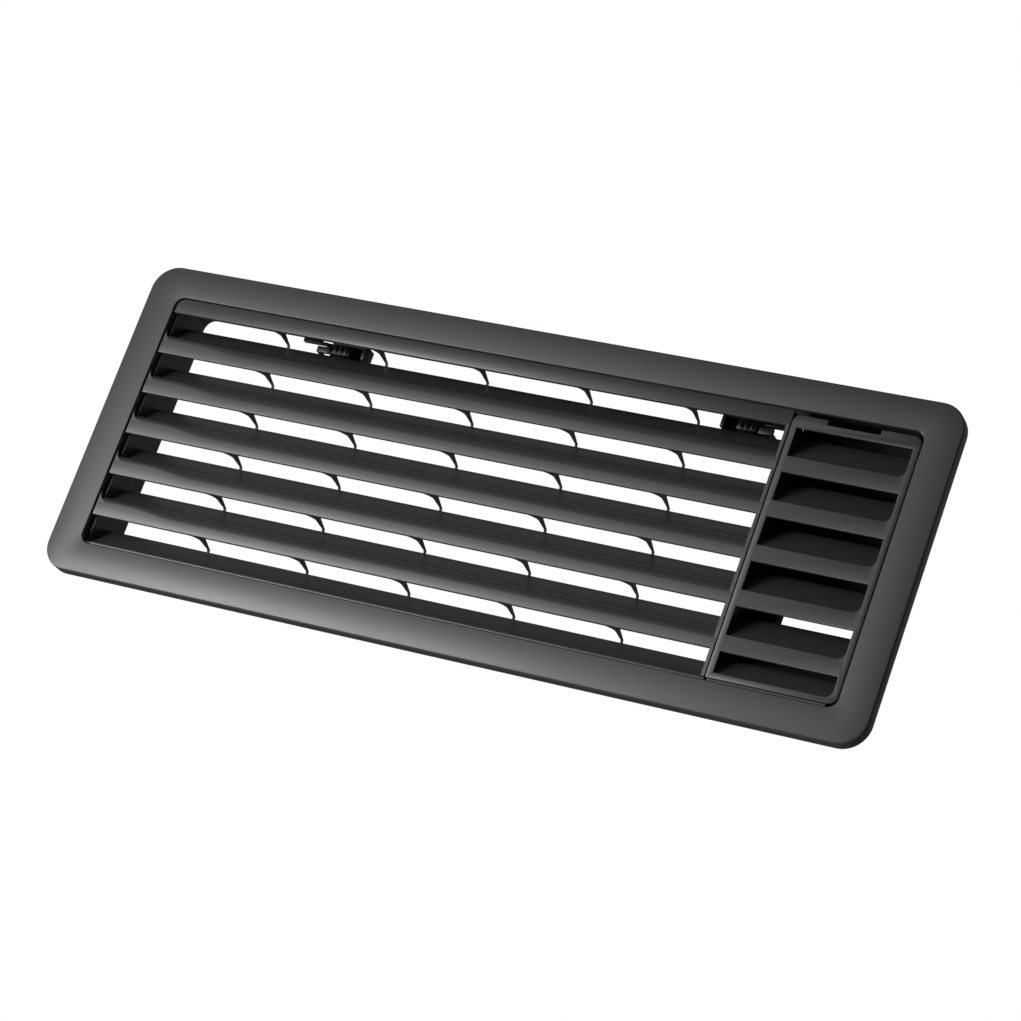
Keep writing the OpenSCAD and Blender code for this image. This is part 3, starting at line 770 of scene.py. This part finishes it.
# Flue tray, its seal and the foam strips
for node, name, radius, slot in (("flue_tray", "flueTray", 0.4, "tray_plastic"),
                                 ("flue_seal", "flueSeal", 0.5, "seal_rubber"),
                                 ("gasket_top", "gasketTop", 0.6, "foam"),
                                 ("gasket_bottom", "gasketBottom", 0.6, "foam"),
                                 ("gasket_left", "gasketLeft", 0.6, "foam"),
                                 ("gasket_right", "gasketRight", 0.6, "foam")):
    finished(softened(node, name, radius), "frame", slot, skins[slot], node)
print("tray, seal and foam made")

# Screws
screwKinds = {
    "guide": {"head": 2.3, "headHigh": 1.35, "shank": 1.25, "length": 4.6, "turns": 4.0, "slot": 0.5},
    "tray": {"head": 3.2, "headHigh": 2.0, "shank": 1.7, "length": 7.9, "turns": 5.0, "slot": 0.8},
}


def makeScrew(kind, place):
    # pan head with a cross recess below, threaded shank above
    s = screwKinds[kind]
    head, high = s["head"], s["headHigh"]
    core = s["shank"] * 0.78
    bm = bmesh.new()
    profile = [(head * 0.45, 0), (head * 0.78, high * 0.08), (head * 0.94, high * 0.3), (head, high * 0.62),
               (head, high * 0.95), (head * 0.97, high), (core, high), (core, high + s["length"] - core),
               (core * 0.2, high + s["length"])]
    addTurned(bm, profile, place)
    piece = pieceFrom(bm, kind + "Screw")
    cross = bmesh.new()
    for wide, deep in ((s["slot"], head * 1.1), (head * 1.1, s["slot"])):
        addBlock(cross, (place[0] - wide / 2, place[1] - deep / 2, place[2] - 1),
                 (place[0] + wide / 2, place[1] + deep / 2, place[2] + high * 0.6), 0.05)
    cutBy(piece, pieceFrom(cross, "crossCutter"))
    return throughTree(piece, screwThread, {
        "Core Radius": core * mm, "Depth": (s["shank"] - core) * mm, "Length": (s["length"] - core - 1) * mm,
        "Turns": s["turns"], "Start": [c * mm for c in (place[0], place[1], place[2] + high + 0.4)],
        "Finish": skins["screw_steel"]})


aside = grilleSizes["screwAside"]
guideScrew = makeScrew("guide", (-catchX - aside, front + grilleSizes["screwY"], grilleSizes["screwFoot"]))
for pitch in (2 * aside, 2 * catchX):
    throughTree(guideScrew, setOut, {"Columns": 2, "Column Pitch": pitch * mm, "Rows": 1,
                                     "Row Pitch": 0.0, "Finish": skins["screw_steel"]})
finished(joined("guideScrews", [guideScrew]), "grille", "screw_steel", skins["screw_steel"], "guide_screws")
trayScrew = makeScrew("tray", (frameSizes["trayHoleX"], front + frameSizes["trayHoleY"], halfCollarH - 4.1))
throughTree(trayScrew, setOut, {"Columns": 2, "Column Pitch": frameSizes["trayHoleGap"] * mm, "Rows": 1,
                                "Row Pitch": 0.0, "Finish": skins["screw_steel"]})
lowerScrews = trayScrew.copy()
lowerScrews.data = trayScrew.data.copy()
lowerScrews.data.transform(Matrix.Diagonal((1, 1, -1, 1)))
finished(joined("trayScrews", [trayScrew, lowerScrews]), "frame", "screw_steel", skins["screw_steel"],
         "tray_screws")
print("screws made")

# Studio; the surround lights the piece dimly, and only the camera sees it white
studio = {"floorLevel": -1.25, "floorSize": 14, "surround": 0.085}


def addFloor():
    half = studio["floorSize"] / 2
    bm = bmesh.new()
    corners = [(-half, -half), (half, -half), (half, half), (-half, half)]
    bm.faces.new([bm.verts.new((x, y, studio["floorLevel"])) for x, y in corners])
    floor = pieceFrom(bm, "floor", scale=1)
    pale = bpy.data.materials.new("paleFloor")
    pale.use_nodes = True
    pale.node_tree.nodes["Principled BSDF"].inputs["Base Color"].default_value = (0.8, 0.8, 0.8, 1)
    pale.node_tree.nodes["Principled BSDF"].inputs["Roughness"].default_value = 0.7
    floor.data.materials.append(pale)


def addSoftbox(name, place, size, power):
    data = bpy.data.lights.new(name, "AREA")
    data.shape = "RECTANGLE"
    data.size, data.size_y = size
    data.energy = power
    lamp = bpy.data.objects.new(name, data)
    bpy.context.scene.collection.objects.link(lamp)
    lamp.location = place
    lamp.rotation_euler = (-Vector(place)).to_track_quat("-Z", "Y").to_euler()
    lamp.visible_camera = False


softboxes = {
    "keyBox": {"place": (-0.8, -1.2, 0.0), "size": (0.45, 0.3), "power": 9},
    "lowBox": {"place": (-1.4, -0.9, -0.5), "size": (0.8, 0.4), "power": 18},
    "frontBox": {"place": (-0.9, -2.2, 0.5), "size": (1.0, 1.0), "power": 5},
    "backBox": {"place": (-0.2, 1.7, 1.1), "size": (3.6, 2.4), "power": 2.5},
}
addFloor()
for name, box in softboxes.items():
    addSoftbox(name, box["place"], box["size"], box["power"])

world = bpy.data.worlds.new("surround")
world.use_nodes = True
bpy.context.scene.world = world
background = world.node_tree.nodes["Background"]
backdrop = newNode(world.node_tree, "ShaderNodeBackground", Color=(1, 1, 1, 1), Strength=1.0)
seen = world.node_tree.nodes.new("ShaderNodeLightPath")
mixed = world.node_tree.nodes.new("ShaderNodeMixShader")
background.inputs["Color"].default_value = (1, 1, 1, 1)
background.inputs["Strength"].default_value = studio["surround"]
world.node_tree.links.new(seen.outputs["Is Camera Ray"], mixed.inputs["Fac"])
world.node_tree.links.new(background.outputs[0], mixed.inputs[1])
world.node_tree.links.new(backdrop.outputs[0], mixed.inputs[2])
world.node_tree.links.new(mixed.outputs[0], world.node_tree.nodes["World Output"].inputs["Surface"])
bpy.context.scene.view_settings.view_transform = "Standard"

# Camera, from the lower right with a slight roll
cameraSetup = {"place": (0.8735, -1.6573, -0.5767), "right": (0.88013, 0.34255, 0.32867),
               "up": (-0.17911, -0.40155, 0.89815), "lens": 122.94}
cameraData = bpy.data.cameras.new("camera")
cameraData.lens = cameraSetup["lens"]
cameraData.sensor_width = 36
camera = bpy.data.objects.new("camera", cameraData)
bpy.context.scene.collection.objects.link(camera)
right, up = Vector(cameraSetup["right"]).normalized(), Vector(cameraSetup["up"]).normalized()
turn = Matrix((right, up, right.cross(up))).transposed().to_4x4()
camera.matrix_world = Matrix.Translation(cameraSetup["place"]) @ turn
bpy.context.scene.camera = camera
print("studio set")
